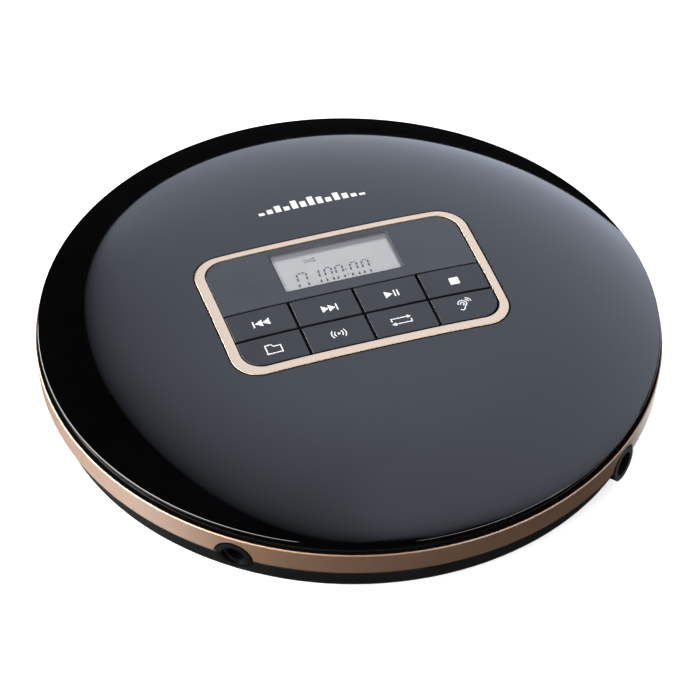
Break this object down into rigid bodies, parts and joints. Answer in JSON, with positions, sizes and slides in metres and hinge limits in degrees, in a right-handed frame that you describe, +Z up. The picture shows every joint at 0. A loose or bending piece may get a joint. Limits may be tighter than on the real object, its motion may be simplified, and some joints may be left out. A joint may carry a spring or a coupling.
{
  "type": "portable cd player",
  "caption": "Round portable disc player with a domed gloss lid, a framed key panel with a small display, a metal-coloured trim ring and side sockets.",
  "frame": {"origin": "centre of the footprint, on the surface that the player rests on", "axes": "+Z up through the lid, -Y towards the front where the lid is lifted, +Y towards the hinge, +X to the right"},
  "size_m": [0.14, 0.1399, 0.0271],
  "materials": {
    "black_case": "fine moulded grain",
    "gloss_lid": "piano black gloss",
    "copper_trim": "satin copper paint",
    "rose_frame": "satin light copper paint",
    "key_plastic": "soft matte",
    "panel_black": "satin",
    "window": "clear",
    "display": "grey display",
    "rubber": "matte",
    "steel": "bright",
    "board_green": "solder mask",
    "chip": "moulded",
    "dark_plastic": "moulded",
    "white_plastic": "smooth acetal",
    "lens_glass": "coated",
    "silicone": "silicone",
    "flex_amber": "polyimide film"
  },
  "bodies": {
    "base": {"bottom_case": "black_case", "feet": "rubber", "case_screws": "steel", "trim_ring": "copper_trim", "deck": "black_case", "main_board": "board_green", "board_chips": "chip", "headphone_jack": "black_case", "power_jack": "black_case", "battery_tray": "black_case", "contact_plates": "steel", "contact_springs": "steel", "door_pins": "steel", "mech_chassis": "dark_plastic", "dampers": "rubber", "guide_rods": "steel", "gear_post": "steel", "spindle_motor": "steel", "sled_motor": "steel", "lid_switch": "dark_plastic", "volume_pot": "dark_plastic", "hinge_pin": "steel"},
    "lid": {"lid_shell": "gloss_lid", "lid_hooks": "gloss_lid", "panel_frame": "rose_frame", "panel_plate": "panel_black", "display_window": "window", "display_module": "display", "keypad_membrane": "silicone", "keypad_board": "board_green", "display_flex": "flex_amber", "lid_liner": "black_case", "liner_screws": "steel"},
    "turntable": {"turntable": "dark_plastic", "turntable_mat": "rubber", "clamp_balls": "steel", "spindle_shaft": "steel"},
    "sled": {"pickup_sled": "dark_plastic", "sled_rack": "white_plastic"},
    "lens": {"lens_holder": "dark_plastic", "lens": "lens_glass"},
    "double_gear": {"double_gear": "white_plastic"},
    "motor_pinion": {"motor_pinion": "white_plastic"},
    "battery_door": {"battery_door": "black_case"},
    "switch_plunger": {"switch_plunger": "white_plastic"},
    "volume_wheel": {"volume_wheel": "black_case"},
    "previous_key": {"previous_key": "key_plastic"},
    "next_key": {"next_key": "key_plastic"},
    "play_key": {"play_key": "key_plastic"},
    "stop_key": {"stop_key": "key_plastic"},
    "folder_key": {"folder_key": "key_plastic"},
    "shock_key": {"shock_key": "key_plastic"},
    "mode_key": {"mode_key": "key_plastic"},
    "sound_key": {"sound_key": "key_plastic"}
  },
  "joints": [
    {"name": "lid_hinge", "type": "hinge", "parent": "base", "child": "lid", "pos_m": [0, 0.0682, 0.0152], "axis": [-1, 0, 0], "range_deg": [0, 70]},
    {"name": "disc_spin", "type": "hinge", "parent": "base", "child": "turntable", "pos_m": [0, 0, 0.0175], "axis": [0, 0, 1], "continuous": true},
    {"name": "sled_slide", "type": "slide", "parent": "base", "child": "sled", "axis": [0, -1, 0], "range_m": [0, 0.0315]},
    {"name": "lens_focus", "type": "slide", "parent": "sled", "child": "lens", "axis": [0, 0, 1], "range_m": [-0.0004, 0.0004], "stiffness_N_per_m": 30},
    {"name": "double_gear_turn", "type": "hinge", "parent": "base", "child": "double_gear", "pos_m": [-0.0215, -0.03, 0.01], "axis": [0, 0, -1], "range_deg": [0, 510]},
    {"name": "motor_pinion_turn", "type": "hinge", "parent": "base", "child": "motor_pinion", "pos_m": [-0.03397, -0.0228, 0.009], "axis": [0, 0, 1], "range_deg": [0, 1530]},
    {"name": "battery_door_hinge", "type": "hinge", "parent": "base", "child": "battery_door", "pos_m": [0, 0.0534, 0.0015], "axis": [1, 0, 0], "range_deg": [0, 95]},
    {"name": "lid_switch_press", "type": "slide", "parent": "base", "child": "switch_plunger", "axis": [0, 0, -1], "range_m": [0, 0.0006], "stiffness_N_per_m": 300},
    {"name": "volume_turn", "type": "hinge", "parent": "base", "child": "volume_wheel", "pos_m": [0.04497, 0.04497, 0.0112], "axis": [0, 0, 1], "range_deg": [-135, 135]},
    {"name": "previous_press", "type": "slide", "parent": "lid", "child": "previous_key", "axis": [0, 0, -1], "range_m": [0, 0.0004], "stiffness_N_per_m": 500},
    {"name": "next_press", "type": "slide", "parent": "lid", "child": "next_key", "axis": [0, 0, -1], "range_m": [0, 0.0004], "stiffness_N_per_m": 500},
    {"name": "play_press", "type": "slide", "parent": "lid", "child": "play_key", "axis": [0, 0, -1], "range_m": [0, 0.0004], "stiffness_N_per_m": 500},
    {"name": "stop_press", "type": "slide", "parent": "lid", "child": "stop_key", "axis": [0, 0, -1], "range_m": [0, 0.0004], "stiffness_N_per_m": 500},
    {"name": "folder_press", "type": "slide", "parent": "lid", "child": "folder_key", "axis": [0, 0, -1], "range_m": [0, 0.0004], "stiffness_N_per_m": 500},
    {"name": "shock_press", "type": "slide", "parent": "lid", "child": "shock_key", "axis": [0, 0, -1], "range_m": [0, 0.0004], "stiffness_N_per_m": 500},
    {"name": "mode_press", "type": "slide", "parent": "lid", "child": "mode_key", "axis": [0, 0, -1], "range_m": [0, 0.0004], "stiffness_N_per_m": 500},
    {"name": "sound_press", "type": "slide", "parent": "lid", "child": "sound_key", "axis": [0, 0, -1], "range_m": [0, 0.0004], "stiffness_N_per_m": 500}
  ],
  "couplings": [
    {"joint": "double_gear_turn", "follows": "sled_slide", "rad_per_m": 277.78},
    {"joint": "motor_pinion_turn", "follows": "sled_slide", "rad_per_m": 833.33}
  ]
}
